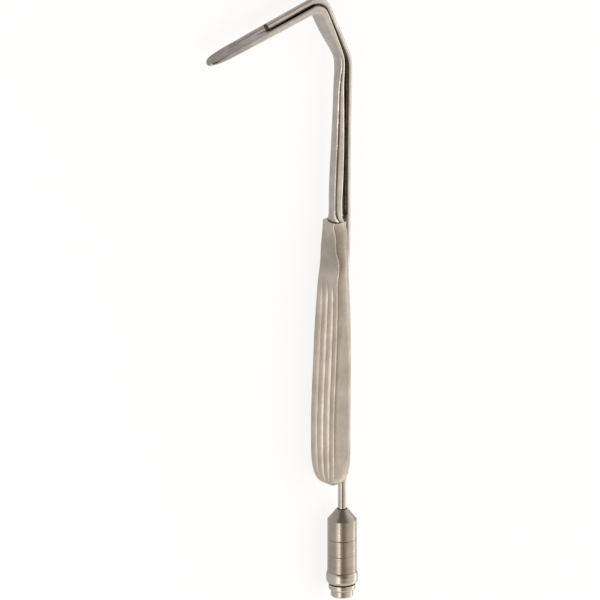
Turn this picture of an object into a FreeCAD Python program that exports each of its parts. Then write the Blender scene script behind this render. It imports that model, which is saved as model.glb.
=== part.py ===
"""Lighted hand retractor: a bent blade on a hollow fluted handle, with a light guide along its back.

The instrument lies on its side. X runs along it from the light connector to the blade, Y is the way the
blade points and the fluted face looks, and Z is up, square to the plane of the hook. The origin is on the
connector's axis, on the face that a light cable's socket seats against. Lengths are in millimetres.
"""
import FreeCAD, Part
import math
import os

import Sketcher
from FreeCAD import Vector

os.makedirs("parts", exist_ok=True)
doc = FreeCAD.newDocument("LightedRetractor")

# Driving dimensions, one row for each cell of the sheet
SIZES = (
    # Light connector, from its plain end upwards
    ("post_dia", 8.4),
    ("post_len", 2.6),
    ("post_round", 0.5),
    ("collar_dia", 10.0),
    ("collar_len", 2.15),
    ("collar_round_len", 0.9),
    ("collar_round_inset", 0.45),
    ("collar_round", 1.2),
    ("seal_gap", 0.5),
    ("seal_dia", 9.2),
    ("bead_len", 4.6),
    ("bead_dia", 11.9),
    ("bead_foot_dia", 10.0),
    ("bead_rise", 1.5),
    ("bead_fall", 1.4),
    ("bead_curve", 1.9),
    ("sleeve_dia", 10.95),
    ("lower_sleeve_len", 12.8),
    ("upper_sleeve_len", 7.6),
    ("sleeve_wall", 1.2),
    ("joint_chamfer", 0.15),
    ("mark_height", 6.6),
    ("mark_width", 0.3),
    ("mark_depth", 0.1),
    ("cone_len", 4.05),
    ("cone_tip_dia", 4.2),
    ("cone_recess_dia", 3.7),
    ("cone_recess_depth", 0.6),
    ("spigot_dia", 7.4),
    ("spigot_len", 3.9),
    ("insert_len", 4.0),
    ("cap_insert_len", 3.8),
    ("nose_dia", 4.9),
    ("nose_setback", 0.4),
    ("post_body_len", 12.4),
    ("ring_width", 0.9),
    ("ring_depth", 0.6),
    ("cap_ring_drop", 1.6),
    ("window_dia", 3.7),
    ("window_len", 2.8),
    ("window_setback", 0.2),
    ("entry_ferrule_len", 8.6),
    ("tube_seat_len", 2.0),
    # Clearances
    ("turned_fit", 0.05),
    ("braze_gap", 0.03),
    # Light tube and what it holds
    ("tube_dia", 3.0),
    ("tube_bore", 2.4),
    ("bundle_dia", 1.9),
    ("bundle_fit", 0.02),
    ("sheath_dia", 2.3),
    ("exit_ferrule_dia", 2.36),
    ("exit_ferrule_len", 6.0),
    ("tube_free_len", 11.0),
    ("tube_level_len", 65.2),
    ("tube_back_neck", 2.15),
    ("tube_neck_inset", 9.0),
    ("tube_back_middle", 1.95),
    ("tube_middle_reach", 14.0),
    ("tube_back_kink", 2.75),
    ("tube_off_strip", 2.35),
    ("tube_off_bend", 0.6),
    ("tube_off_end", 0.35),
    ("tube_reach", 25.2),
    ("tube_kink_radius", 15.0),
    ("tube_bend_radius", 7.0),
    # Bar, strip and blade, on the outer line that runs up the bar's back and along the blade's top
    ("bar_len", 63.0),
    ("bar_back_root", 1.7),
    ("bar_back_waist", 0.15),
    ("bar_back_kink", 0.4),
    ("bar_waist_reach", 32.0),
    ("kink_radius", 14.0),
    ("strip_lean", 25.2),
    ("strip_len", 27.0),
    ("bend_radius", 6.0),
    ("blade_dip", 13.0),
    ("blade_len", 54.6),
    ("tip_bent_len", 9.0),
    ("tip_dip", 5.5),
    ("tip_bend_radius", 25.0),
    ("flare_width", 7.8),
    ("flare_len", 4.5),
    ("bar_width_root", 4.9),
    ("bar_width_belly", 5.0),
    ("bar_width_waist", 4.4),
    ("kink_width", 5.4),
    ("strip_width", 6.8),
    ("bend_width", 7.6),
    ("blade_width", 7.8),
    ("blade_width_fore", 6.6),
    ("bar_thickness_root", 4.05),
    ("bar_thickness_belly", 4.45),
    ("bar_thickness_waist", 3.2),
    ("strip_thickness", 2.2),
    ("bend_thickness", 2.9),
    ("blade_thickness", 2.55),
    ("blade_thickness_fore", 2.35),
    ("tip_thickness", 1.1),
    ("tip_round_len", 5.2),
    ("bar_belly_reach", 15.0),
    ("bar_thin_reach", 50.0),
    ("fore_len", 10.0),
    ("bar_back_corner", 1.2),
    ("bar_front_corner", 1.5),
    ("bar_front_radius", 3.2),
    ("blade_corner", 0.5),
    ("blade_front_radius", 60.0),
    ("front_radius_margin", 1.25),
    ("trough_wall", 0.6),
    ("trough_depth", 0.95),
    ("trough_corner", 2.4),
    ("trough_fade_len", 15.0),
    ("trough_tip_gap", 4.5),
    ("tang_len", 30.0),
    ("tang_width", 4.4),
    ("tang_thickness", 2.6),
    ("tang_inset", 0.3),
    # Handle, at stations counted from its lower end: place, width, front face, back face, depth of flutes
    ("handle_len", 102.95),
    ("handle_end_len", 18.0),
    ("handle_end_fullness", 3.3),
    ("station_step", 4.0),
    ("belly_at", 21.7),
    ("belly_width", 14.4),
    ("belly_front", 9.85),
    ("belly_back", 0.9),
    ("belly_flute", 0.75),
    ("grip_at", 52.7),
    ("grip_width", 14.3),
    ("grip_front", 8.6),
    ("grip_back", 0.65),
    ("grip_flute", 0.75),
    ("waist_at", 72.2),
    ("waist_width", 13.4),
    ("waist_front", 7.62),
    ("waist_back", 0.68),
    ("waist_flute", 0.7),
    ("fade_at", 77.7),
    ("fade_width", 12.6),
    ("fade_front", 7.4),
    ("fade_back", 0.7),
    ("fade_flute", 0.4),
    ("ridge_at", 81.2),
    ("ridge_width", 12.4),
    ("ridge_front", 7.0),
    ("ridge_back", 0.9),
    ("ridge_flute", 0.03),
    ("rest_at", 86.2),
    ("rest_width", 12.2),
    ("rest_front", 6.28),
    ("rest_back", 1.0),
    ("rest_flute", 0.02),
    ("neck_at", 93.2),
    ("neck_width", 10.0),
    ("neck_front", 6.85),
    ("neck_back", 0.5),
    ("neck_flute", 0.02),
    ("top_width", 8.2),
    ("top_front", 6.75),
    ("top_back", 0.15),
    ("top_flute", 0.02),
    ("handle_side_bulge", 0.3),
    ("handle_flats", 13.9),
    ("handle_back_crown", 0.9),
    ("handle_front_corner", 1.0),
    ("handle_back_corner", 1.6),
    ("shell_wall", 1.1),
    ("cavity_start", 8.0),
    ("cavity_corner", 1.2),
    ("seam_low", 5.4),
    ("seam_top", 3.3),
)

sheet = doc.addObject("Spreadsheet::Sheet", "Sizes")
for row, (alias, number) in enumerate(SIZES, start=1):
    sheet.set(f"A{row}", alias)
    sheet.set(f"B{row}", str(number))
    sheet.setAlias(f"B{row}", alias)
doc.recompute()


def size(alias):
    """Return one driving dimension from the sheet."""
    return float(getattr(sheet, alias))


def worth(expression):
    """Return the present value of an expression on the sheet's cells."""
    return float(sheet.evalExpression(expression))


# Heights above the connector's plain end, as expressions on the sheet
SEAT = "Sizes.post_len"
COLLAR_TOP = f"({SEAT} + Sizes.collar_len)"
BEAD_FOOT = f"({COLLAR_TOP} + Sizes.seal_gap)"
BEAD_TOP = f"({BEAD_FOOT} + Sizes.bead_len)"
SLEEVE_JOINT = f"({BEAD_TOP} + Sizes.lower_sleeve_len)"
SLEEVE_TOP = f"({SLEEVE_JOINT} + Sizes.upper_sleeve_len)"
CONE_TIP = f"({SLEEVE_TOP} + Sizes.cone_len)"
SPIGOT_TOP = f"({COLLAR_TOP} + Sizes.spigot_len)"
INSERT_TOP = f"({BEAD_TOP} + Sizes.insert_len)"
POST_TOP = f"({INSERT_TOP} + Sizes.post_body_len)"
CAP_FOOT = f"({SLEEVE_TOP} - Sizes.cap_insert_len)"
WINDOW_FOOT = "(Sizes.nose_setback + Sizes.window_setback)"
WINDOW_TOP = f"({WINDOW_FOOT} + Sizes.window_len)"
FERRULE_TOP = f"({WINDOW_TOP} + Sizes.entry_ferrule_len)"
TUBE_FOOT = f"({FERRULE_TOP} + Sizes.tube_seat_len)"
RING_FOOT = f"({SLEEVE_JOINT} - Sizes.ring_width / 2)"
RING_TOP = f"({SLEEVE_JOINT} + Sizes.ring_width / 2)"
CAP_RING_FOOT = f"({SLEEVE_TOP} - Sizes.cap_ring_drop)"
CAP_RING_TOP = f"({CAP_RING_FOOT} + Sizes.ring_width)"

# Radii of the connector, as expressions on the sheet
POST = "Sizes.post_dia / 2"
COLLAR = "Sizes.collar_dia / 2"
SPIGOT = "Sizes.spigot_dia / 2"
SPIGOT_BORE = f"({SPIGOT} + Sizes.turned_fit)"
NOSE = "Sizes.nose_dia / 2"
NOSE_BORE = f"({NOSE} + Sizes.turned_fit)"
BEAD = "Sizes.bead_dia / 2"
SLEEVE = "Sizes.sleeve_dia / 2"
SLEEVE_BORE = f"({SLEEVE} - Sizes.sleeve_wall)"
INSERT = f"({SLEEVE_BORE} - Sizes.turned_fit)"
RING_FLOOR = f"({INSERT} - Sizes.ring_depth)"
TUBE_CLEAR = "(Sizes.tube_dia / 2 + Sizes.braze_gap)"
WINDOW = "Sizes.window_dia / 2"
WINDOW_BORE = f"({WINDOW} + Sizes.bundle_fit)"
BUNDLE_CLEAR = "(Sizes.bundle_dia / 2 + Sizes.bundle_fit)"
SHEATH_CLEAR = "(Sizes.sheath_dia / 2 + Sizes.turned_fit)"


def turned_piece(label, outline):
    """Turn a closed outline about the connector's axis.

    Each corner of the outline is (height, radius), or (height, radius, curve) where the side that leaves
    the corner is an arc of that radius, bulging away from the axis.
    """
    body = doc.addObject("PartDesign::Body", label)
    sketch = body.newObject("Sketcher::SketchObject", f"{label}_outline")
    plane = next(f for f in body.Origin.OriginFeatures if f.Role == "XY_Plane")
    sketch.AttachmentSupport = (plane, [""])
    sketch.MapMode = "FlatFace"
    corners = [Vector(worth(corner[0]), worth(corner[1]), 0) for corner in outline]
    starts = []
    ends = []
    for index, corner in enumerate(outline):
        first = corners[index]
        last = corners[(index + 1) % len(corners)]
        if len(corner) == 3:
            geometry = bulging_arc(first, last, worth(corner[2]))
        else:
            geometry = Part.LineSegment(first, last)
        sketch.addGeometry(geometry, False)
        forward = sketch.getPoint(index, 1).distanceToPoint(first) < 1e-6
        starts.append(1 if forward else 2)
        ends.append(2 if forward else 1)
    for index, corner in enumerate(outline):
        following = (index + 1) % len(outline)
        sketch.addConstraint(
            Sketcher.Constraint("Coincident", index, ends[index], following, starts[following])
        )
        for kind, expression, number in (
            ("DistanceX", corner[0], corners[index].x),
            ("DistanceY", corner[1], corners[index].y),
        ):
            place = sketch.addConstraint(Sketcher.Constraint(kind, -1, 1, index, starts[index], number))
            sketch.setExpression(f"Constraints[{place}]", expression)
        if len(corner) == 3:
            place = sketch.addConstraint(Sketcher.Constraint("Radius", index, worth(corner[2])))
            sketch.setExpression(f"Constraints[{place}]", corner[2])
    turn = body.newObject("PartDesign::Revolution", f"{label}_turn")
    turn.Profile = sketch
    turn.ReferenceAxis = (sketch, ["H_Axis"])
    turn.Angle = 360.0
    body.setExpression(".Placement.Base.x", f"-{SEAT}")
    return body


def bulging_arc(first, last, radius):
    """Return the arc between two outline corners that bulges away from the axis."""
    chord = last - first
    middle = (first + last) / 2
    outward = Vector(-chord.y, chord.x, 0).normalize()
    if outward.y < 0:
        outward = outward * -1
    rise = radius - math.sqrt(radius ** 2 - (chord.Length / 2) ** 2)
    return Part.Arc(first, middle + outward * rise, last)


def ring_outline(foot, top, inner, outer):
    """Return the outline of a plain ring."""
    return [(foot, inner), (foot, outer), (top, outer), (top, inner)]


turned = [
    turned_piece("end_adapter", [
        ("0", NOSE_BORE),
        ("0", f"{POST} - Sizes.post_round", "Sizes.post_round"),
        ("Sizes.post_round", POST),
        (SEAT, POST),
        (SEAT, f"{COLLAR} - Sizes.collar_round_inset", "Sizes.collar_round"),
        (f"{SEAT} + Sizes.collar_round_len", COLLAR),
        (COLLAR_TOP, COLLAR),
        (COLLAR_TOP, SPIGOT),
        (SPIGOT_TOP, SPIGOT),
        (SPIGOT_TOP, NOSE_BORE),
    ]),
    turned_piece("adapter_seal", ring_outline(COLLAR_TOP, BEAD_FOOT, SPIGOT_BORE, "Sizes.seal_dia / 2")),
    turned_piece("bead_adapter", [
        (BEAD_FOOT, SPIGOT_BORE),
        (BEAD_FOOT, "Sizes.bead_foot_dia / 2", "Sizes.bead_curve"),
        (f"{BEAD_FOOT} + Sizes.bead_rise", BEAD),
        (f"{BEAD_TOP} - Sizes.bead_fall", BEAD, "Sizes.bead_curve"),
        (BEAD_TOP, SLEEVE),
        (BEAD_TOP, INSERT),
        (INSERT_TOP, INSERT),
        (INSERT_TOP, NOSE_BORE),
        (SPIGOT_TOP, NOSE_BORE),
        (SPIGOT_TOP, SPIGOT_BORE),
    ]),
    turned_piece("lower_sleeve", [
        (BEAD_TOP, SLEEVE_BORE),
        (BEAD_TOP, f"{SLEEVE} - Sizes.joint_chamfer"),
        (f"{BEAD_TOP} + Sizes.joint_chamfer", SLEEVE),
        (f"{BEAD_TOP} + Sizes.mark_height - Sizes.mark_width / 2", SLEEVE),
        (f"{BEAD_TOP} + Sizes.mark_height", f"{SLEEVE} - Sizes.mark_depth"),
        (f"{BEAD_TOP} + Sizes.mark_height + Sizes.mark_width / 2", SLEEVE),
        (f"{SLEEVE_JOINT} - Sizes.joint_chamfer", SLEEVE),
        (SLEEVE_JOINT, f"{SLEEVE} - Sizes.joint_chamfer"),
        (SLEEVE_JOINT, SLEEVE_BORE),
    ]),
    turned_piece("upper_sleeve", [
        (SLEEVE_JOINT, SLEEVE_BORE),
        (SLEEVE_JOINT, f"{SLEEVE} - Sizes.joint_chamfer"),
        (f"{SLEEVE_JOINT} + Sizes.joint_chamfer", SLEEVE),
        (SLEEVE_TOP, SLEEVE),
        (SLEEVE_TOP, SLEEVE_BORE),
    ]),
    turned_piece("cone_cap", [
        (CAP_FOOT, TUBE_CLEAR),
        (CAP_FOOT, INSERT),
        (CAP_RING_FOOT, INSERT),
        (CAP_RING_FOOT, RING_FLOOR),
        (CAP_RING_TOP, RING_FLOOR),
        (CAP_RING_TOP, INSERT),
        (SLEEVE_TOP, INSERT),
        (SLEEVE_TOP, SLEEVE),
        (CONE_TIP, "Sizes.cone_tip_dia / 2"),
        (CONE_TIP, "Sizes.cone_recess_dia / 2"),
        (f"{CONE_TIP} - Sizes.cone_recess_depth", "Sizes.cone_recess_dia / 2"),
        (f"{CONE_TIP} - Sizes.cone_recess_depth", TUBE_CLEAR),
    ]),
    turned_piece("light_post", [
        ("Sizes.nose_setback", WINDOW_BORE),
        ("Sizes.nose_setback", NOSE),
        (INSERT_TOP, NOSE),
        (INSERT_TOP, INSERT),
        (RING_FOOT, INSERT),
        (RING_FOOT, RING_FLOOR),
        (RING_TOP, RING_FLOOR),
        (RING_TOP, INSERT),
        (POST_TOP, INSERT),
        (POST_TOP, TUBE_CLEAR),
        (TUBE_FOOT, TUBE_CLEAR),
        (TUBE_FOOT, SHEATH_CLEAR),
        (FERRULE_TOP, SHEATH_CLEAR),
        (FERRULE_TOP, WINDOW_BORE),
    ]),
    turned_piece("sleeve_seal", ring_outline(
        RING_FOOT, RING_TOP, f"{RING_FLOOR} + Sizes.bundle_fit", f"{SLEEVE_BORE} - Sizes.bundle_fit",
    )),
    turned_piece("cap_seal", ring_outline(
        CAP_RING_FOOT, CAP_RING_TOP, f"{RING_FLOOR} + Sizes.bundle_fit",
        f"{SLEEVE_BORE} - Sizes.bundle_fit",
    )),
    turned_piece("entry_window", ring_outline(WINDOW_FOOT, WINDOW_TOP, "0", WINDOW)),
    turned_piece("entry_ferrule", ring_outline(WINDOW_TOP, FERRULE_TOP, BUNDLE_CLEAR, WINDOW)),
]


class Course:
    """A bent line in the plane of the hook: straight runs joined by tangent arcs."""

    def __init__(self, points, radii):
        self.spans = []
        self.length = 0.0
        headings = [
            math.atan2(after[1] - before[1], after[0] - before[0])
            for before, after in zip(points, points[1:])
        ]
        start = points[0]
        for index, heading in enumerate(headings):
            corner = points[index + 1]
            run = math.dist(start, corner)
            last = index == len(headings) - 1
            turn = 0.0 if last else headings[index + 1] - heading
            trim = 0.0 if last else radii[index] * math.tan(abs(turn) / 2)
            start = self.add_span(start, heading, run - trim, 0.0)
            if not last:
                bend = math.copysign(1 / radii[index], turn)
                start = self.add_span(start, heading, radii[index] * abs(turn), bend)

    def add_span(self, start, heading, length, bend):
        """Add one run or arc and return where it ends."""
        if length <= 0:
            raise ValueError("a run of the course is too short for its arcs")
        self.spans.append((self.length, start, heading, length, bend))
        self.length += length
        return self.at(self.length)[0]

    def at(self, travel):
        """Return the place and the heading after some travel along the course."""
        for begin, start, heading, length, bend in self.spans:
            if travel <= begin + length + 1e-9:
                break
        step = travel - begin
        if bend == 0.0:
            place = (start[0] + step * math.cos(heading), start[1] + step * math.sin(heading))
            return place, heading
        aim = heading + bend * step
        place = (
            start[0] + (math.sin(aim) - math.sin(heading)) / bend,
            start[1] - (math.cos(aim) - math.cos(heading)) / bend,
        )
        return place, aim

    def wire(self, begin, end):
        """Return the stretch between two travels as a wire."""
        edges = []
        for start, _, _, length, bend in self.spans:
            low = max(begin, start)
            high = min(end, start + length)
            if high - low < 1e-6:
                continue
            places = [Vector(*self.at(travel)[0], 0) for travel in (low + 1e-9, (low + high) / 2, high)]
            if bend == 0.0:
                edges.append(Part.LineSegment(places[0], places[2]).toShape())
            else:
                edges.append(Part.Arc(*places).toShape())
        return Part.Wire(edges)


def gentle_radius(before, corner, after):
    """Return the largest arc that two runs of a course allow at their corner."""
    turn = abs(
        math.atan2(after[1] - corner[1], after[0] - corner[0])
        - math.atan2(corner[1] - before[1], corner[0] - before[0])
    )
    return 0.45 * min(math.dist(before, corner), math.dist(corner, after)) / math.tan(turn / 2)


def swept_rod(course, begin, end, radius):
    """Return a round rod along a stretch of a course."""
    place, heading = course.at(begin)
    circle = Part.Circle(Vector(*place, 0), Vector(math.cos(heading), math.sin(heading), 0), radius)
    return course.wire(begin, end).makePipeShell([Part.Wire([circle.toShape()])], True, False)


def moved(place, heading, travel, rise):
    """Return a point some travel along a heading and some rise out of the hook from a place."""
    return (
        place[0] + travel * math.cos(heading) + rise * math.sin(heading),
        place[1] + travel * math.sin(heading) - rise * math.cos(heading),
    )


def crossing(first, first_heading, second, second_heading):
    """Return where two lines in the plane of the hook cross."""
    spread = math.sin(second_heading - first_heading)
    across = (second[0] - first[0]) * math.sin(second_heading)
    along = (second[1] - first[1]) * math.cos(second_heading)
    return moved(first, first_heading, (across - along) / spread, 0.0)


def station_slope(stations, index):
    """Return the slope of a fair curve at one of its stations: level at the ends and at any summit."""
    if index in (0, len(stations) - 1):
        return 0.0
    (low, start), (middle, value), (high, end) = stations[index - 1:index + 2]
    before = (value - start) / (middle - low)
    after = (end - value) / (high - middle)
    if before * after <= 0:
        return 0.0
    return 2 * before * after / (before + after)


def fair(stations, travel):
    """Return a value that passes smoothly through stations of (travel, value), with no overshoot."""
    if travel <= stations[0][0]:
        return stations[0][1]
    for index, ((low, start), (high, end)) in enumerate(zip(stations, stations[1:])):
        if travel > high:
            continue
        run = high - low
        share = (travel - low) / run
        leave = run * station_slope(stations, index)
        arrive = run * station_slope(stations, index + 1)
        return (
            start * (1 + 2 * share) * (1 - share) ** 2
            + leave * share * (1 - share) ** 2
            + end * (3 - 2 * share) * share ** 2
            - arrive * (1 - share) * share ** 2
        )
    return stations[-1][1]


# Course of the outer line, from the handle's top to the blade's tip
handle_start = worth(CONE_TIP) + size("tube_free_len")
handle_top = handle_start + size("handle_len")
kink = (handle_top + size("bar_len"), size("bar_back_kink"))
strip_heading = math.radians(size("strip_lean"))
blade_heading = math.radians(90 + size("blade_dip"))
bend = moved(kink, strip_heading, size("strip_len"), 0.0)
tip_bend = moved(bend, blade_heading, size("blade_len") - size("tip_bent_len"), 0.0)
blade_tip = moved(tip_bend, blade_heading + math.radians(size("tip_dip")), size("tip_bent_len"), 0.0)
bar_root = (handle_top, size("bar_back_root"))
bar_waist = (handle_top + size("bar_waist_reach"), size("bar_back_waist"))
outer_line = Course(
    [bar_root, bar_waist, kink, bend, tip_bend, blade_tip],
    [
        gentle_radius(bar_root, bar_waist, kink), size("kink_radius"), size("bend_radius"),
        size("tip_bend_radius"),
    ],
)
kink_travel = outer_line.spans[3][0] + outer_line.spans[3][3] / 2
bend_start = outer_line.spans[5][0]
bend_end = outer_line.spans[6][0]
tip_travel = outer_line.length

# Course of the light tube's axis, from its seat in the connector to its end on the blade
neck_point = (handle_top - size("tube_neck_inset"), -size("tube_back_neck"))
middle_point = (handle_top + size("tube_middle_reach"), -size("tube_back_middle"))
on_strip = moved(kink, strip_heading, 0.0, size("tube_off_strip"))
kink_level = (kink[0], -size("tube_back_kink"))
tube_kink = crossing(kink_level, 0.0, on_strip, strip_heading)
on_bend = moved(bend, blade_heading, 0.0, size("tube_off_bend"))
tube_end = moved(bend, blade_heading, size("tube_reach"), size("tube_off_end"))
along_blade = math.atan2(tube_end[1] - on_bend[1], tube_end[0] - on_bend[0])
tube_corner = crossing(on_strip, strip_heading, on_bend, along_blade)
fibre_start = (worth(WINDOW_TOP), 0.0)
level_end = (handle_start + size("tube_level_len"), 0.0)
tube_points = [fibre_start, level_end, neck_point, middle_point, tube_kink, tube_corner, tube_end]
tube_line = Course(tube_points, [
    gentle_radius(*tube_points[0:3]),
    gentle_radius(*tube_points[1:4]),
    gentle_radius(*tube_points[2:5]),
    size("tube_kink_radius"),
    size("tube_bend_radius"),
])


def tube_travel(height):
    """Return the travel along the light tube's course at a height, true where the course runs level."""
    return height - worth(WINDOW_TOP)


def rounded_oblong(point, half_width, bottom, top, radius):
    """Return an oblong wire with round corners, drawn with a function of (across, level)."""
    lean = radius * (1 - math.sqrt(0.5))
    turns = []
    for side, level, inward in ((1, top, -1), (-1, top, -1), (-1, bottom, 1), (1, bottom, 1)):
        turn = (
            point(side * half_width, level + inward * radius),
            point(side * (half_width - lean), level + inward * lean),
            point(side * (half_width - radius), level),
        )
        turns.append(turn if side * inward < 0 else turn[::-1])
    edges = []
    for index, turn in enumerate(turns):
        edges.append(Part.Arc(*turn).toShape())
        edges.append(Part.LineSegment(turn[2], turns[(index + 1) % 4][0]).toShape())
    return Part.Wire(edges)


def across_line(travel):
    """Return a function that puts (across, level) on a plane square to the outer line."""
    place, heading = outer_line.at(travel)
    centre = Vector(*place, 0)
    outward = Vector(math.sin(heading), -math.cos(heading), 0)

    def point(across, level):
        return centre + outward * level + Vector(0, 0, across)

    return point


def bar_section(travel):
    """Return the outline of the bar or blade: flat back, straight sides and a crowned front."""
    point = across_line(travel)
    half_width = bar_width(travel) / 2
    front = -fair(thicknesses, travel)
    back_corner = min(fair(back_corners, travel), -0.4 * front, 0.9 * half_width)
    corner = min(fair(front_corners, travel), -0.4 * front, 0.9 * half_width)
    crown = max(1 / fair(front_curves, travel), size("front_radius_margin") * half_width)
    drop = math.sqrt((crown - corner) ** 2 - (half_width - corner) ** 2)
    hub = front + crown - drop
    reach = crown / (crown - corner)
    meeting = ((half_width - corner) * reach, front + crown - drop * reach)
    turn = math.atan2(drop, half_width - corner) / 2
    middle = (half_width - corner + corner * math.cos(turn), hub - corner * math.sin(turn))
    lean = back_corner * (1 - math.sqrt(0.5))
    low_turn = [(half_width, hub), middle, meeting]
    high_turn = [
        (half_width - back_corner, 0.0), (half_width - lean, -lean), (half_width, -back_corner),
    ]
    arcs = [
        [point(*place) for place in high_turn],
        [point(*place) for place in low_turn],
        [point(-across, level) for across, level in reversed(low_turn)],
        [point(-across, level) for across, level in reversed(high_turn)],
    ]
    right_back, right_front, left_front, left_back = arcs
    return Part.Wire([
        Part.Arc(*right_back).toShape(),
        Part.LineSegment(right_back[2], right_front[0]).toShape(),
        Part.Arc(*right_front).toShape(),
        Part.Arc(right_front[2], point(0.0, front), left_front[0]).toShape(),
        Part.Arc(*left_front).toShape(),
        Part.LineSegment(left_front[2], left_back[0]).toShape(),
        Part.Arc(*left_back).toShape(),
        Part.LineSegment(left_back[2], right_back[0]).toShape(),
    ])


def spread(begin, end, count):
    """Return evenly spaced travels, both ends among them."""
    return [begin + (end - begin) * step / (count - 1) for step in range(count)]


tip_start = tip_travel - size("tip_round_len")
fore_travel = tip_travel - size("fore_len")
belly_travel = size("bar_belly_reach")
thin_travel = size("bar_thin_reach")
widths = [
    (size("flare_len"), size("bar_width_root")),
    (belly_travel, size("bar_width_belly")),
    (thin_travel, size("bar_width_waist")),
    (kink_travel, size("kink_width")),
    ((kink_travel + bend_start) / 2, size("strip_width")),
    (bend_start, size("bend_width")),
    (bend_end, size("blade_width")),
    (bend_end + size("tube_reach") / 2, size("blade_width")),
    (tip_start, size("blade_width_fore")),
]
thicknesses = [
    (0.0, size("bar_thickness_root")),
    (belly_travel, size("bar_thickness_belly")),
    (thin_travel, size("bar_thickness_waist")),
    (kink_travel, size("strip_thickness")),
    (bend_start, size("bend_thickness")),
    (bend_end, size("blade_thickness")),
    (fore_travel, size("blade_thickness_fore")),
    (tip_travel, size("tip_thickness")),
]
bar_share = [kink_travel - size("kink_radius"), kink_travel + size("kink_radius")]
back_corners = list(zip(bar_share, (size("bar_back_corner"), size("blade_corner"))))
front_corners = list(zip(bar_share, (size("bar_front_corner"), size("blade_corner"))))
front_curves = list(zip(bar_share, (1 / size("bar_front_radius"), 1 / size("blade_front_radius"))))


def bar_width(travel):
    """Return the width of the bar or blade, with the flare at its root and the round of its tip."""
    width = fair(widths, travel)
    if travel < size("flare_len"):
        share = 1 - travel / size("flare_len")
        return width + (size("flare_width") - width) * share ** 3
    if travel > tip_start:
        share = (travel - tip_start) / size("tip_round_len")
        return width * math.sqrt(max(0.0, 1 - share * share))
    return width


def make_blade_and_shank():
    """Return the bar, strip and blade with the trough that holds the light tube."""
    travels = spread(0.0, size("flare_len"), 6)[:-1]
    travels += spread(size("flare_len"), outer_line.spans[3][0], 9)[:-1]
    travels += spread(outer_line.spans[3][0], outer_line.spans[4][0], 4)[:-1]
    travels += spread(outer_line.spans[4][0], bend_start, 5)[:-1]
    travels += spread(bend_start, bend_end, 9)[:-1]
    travels += spread(bend_end, tip_start, 9)[:-1]
    travels += [
        tip_start + size("tip_round_len") * math.sin(math.radians(angle))
        for angle in (0, 18, 34, 48, 60, 70, 78, 83)
    ]
    bar = Part.makeLoft([bar_section(travel) for travel in travels], True, False)
    trough = make_trough()
    tube_room = swept_rod(
        tube_line, tube_travel(handle_top), tube_line.length, size("tube_dia") / 2 + size("braze_gap")
    )
    tang = Part.makeBox(
        size("tang_len") + size("tang_inset"), size("tang_thickness"), size("tang_width"),
        Vector(
            handle_top - size("tang_len"),
            size("bar_back_root") + size("tang_inset"),
            -size("tang_width") / 2,
        ),
    )
    return bar.cut(trough).cut(tube_room).fuse(tang).removeSplitter()


def make_trough():
    """Return the hollow in the blade's top, which starts in the bend and fades out before the tip."""
    full_start = bend_end
    full_end = tip_travel - size("trough_fade_len")
    last = tip_travel - size("trough_tip_gap")
    depths = [
        ((bend_start + bend_end) / 2, -0.2),
        (full_start, size("trough_depth")),
        (full_end, size("trough_depth")),
        (last, -0.1),
    ]
    travels = spread((bend_start + bend_end) / 2, full_start, 6)[:-1]
    travels += spread(full_start, full_end, 5)[:-1]
    travels += spread(full_end, last, 7)
    sections = []
    for travel in travels:
        half_width = bar_width(travel) / 2 - size("trough_wall")
        corner = min(size("trough_corner"), 0.9 * half_width)
        bottom = -fair(depths, travel)
        sections.append(
            rounded_oblong(across_line(travel), half_width, bottom, bottom + 2.5 * corner, corner)
        )
    return Part.makeLoft(sections, True, False)


STATIONS = ("belly", "grip", "waist", "fade", "ridge", "rest", "neck", "top")
MEASURES = ("width", "front", "back", "flute")


def station_place(name):
    """Return where a station of the handle lies."""
    return handle_start + (size("handle_len") if name == "top" else size(f"{name}_at"))


handle_lines = {
    measure: [(station_place(name), size(f"{name}_{measure}")) for name in STATIONS]
    for measure in MEASURES
}


def handle_station(place):
    """Return (place, half width, front, back, flute depth, share) at a place along the handle."""
    width, front, back, flute = (fair(handle_lines[measure], place) for measure in MEASURES)
    full = handle_start + size("handle_end_len")
    share = 1.0
    if place < full:
        fullness = size("handle_end_fullness")
        share = (1 - ((full - place) / size("handle_end_len")) ** fullness) ** (1 / fullness)
    centre = (front + back) / 2
    half_depth = (front - back) / 2
    return (
        place, width / 2 * share, centre + half_depth * share, centre - half_depth * share,
        flute * share * share, share,
    )


def handle_stations():
    """Return the stations of the handle from its lower end to its top."""
    full = handle_start + size("handle_end_len")
    end_shares = (0.997, 0.975, 0.93, 0.85, 0.74, 0.6, 0.42, 0.22)
    places = [full - size("handle_end_len") * share for share in end_shares]
    count = round((handle_top - full) / size("station_step")) + 1
    return [handle_station(place) for place in places + spread(full, handle_top, count)]


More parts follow.
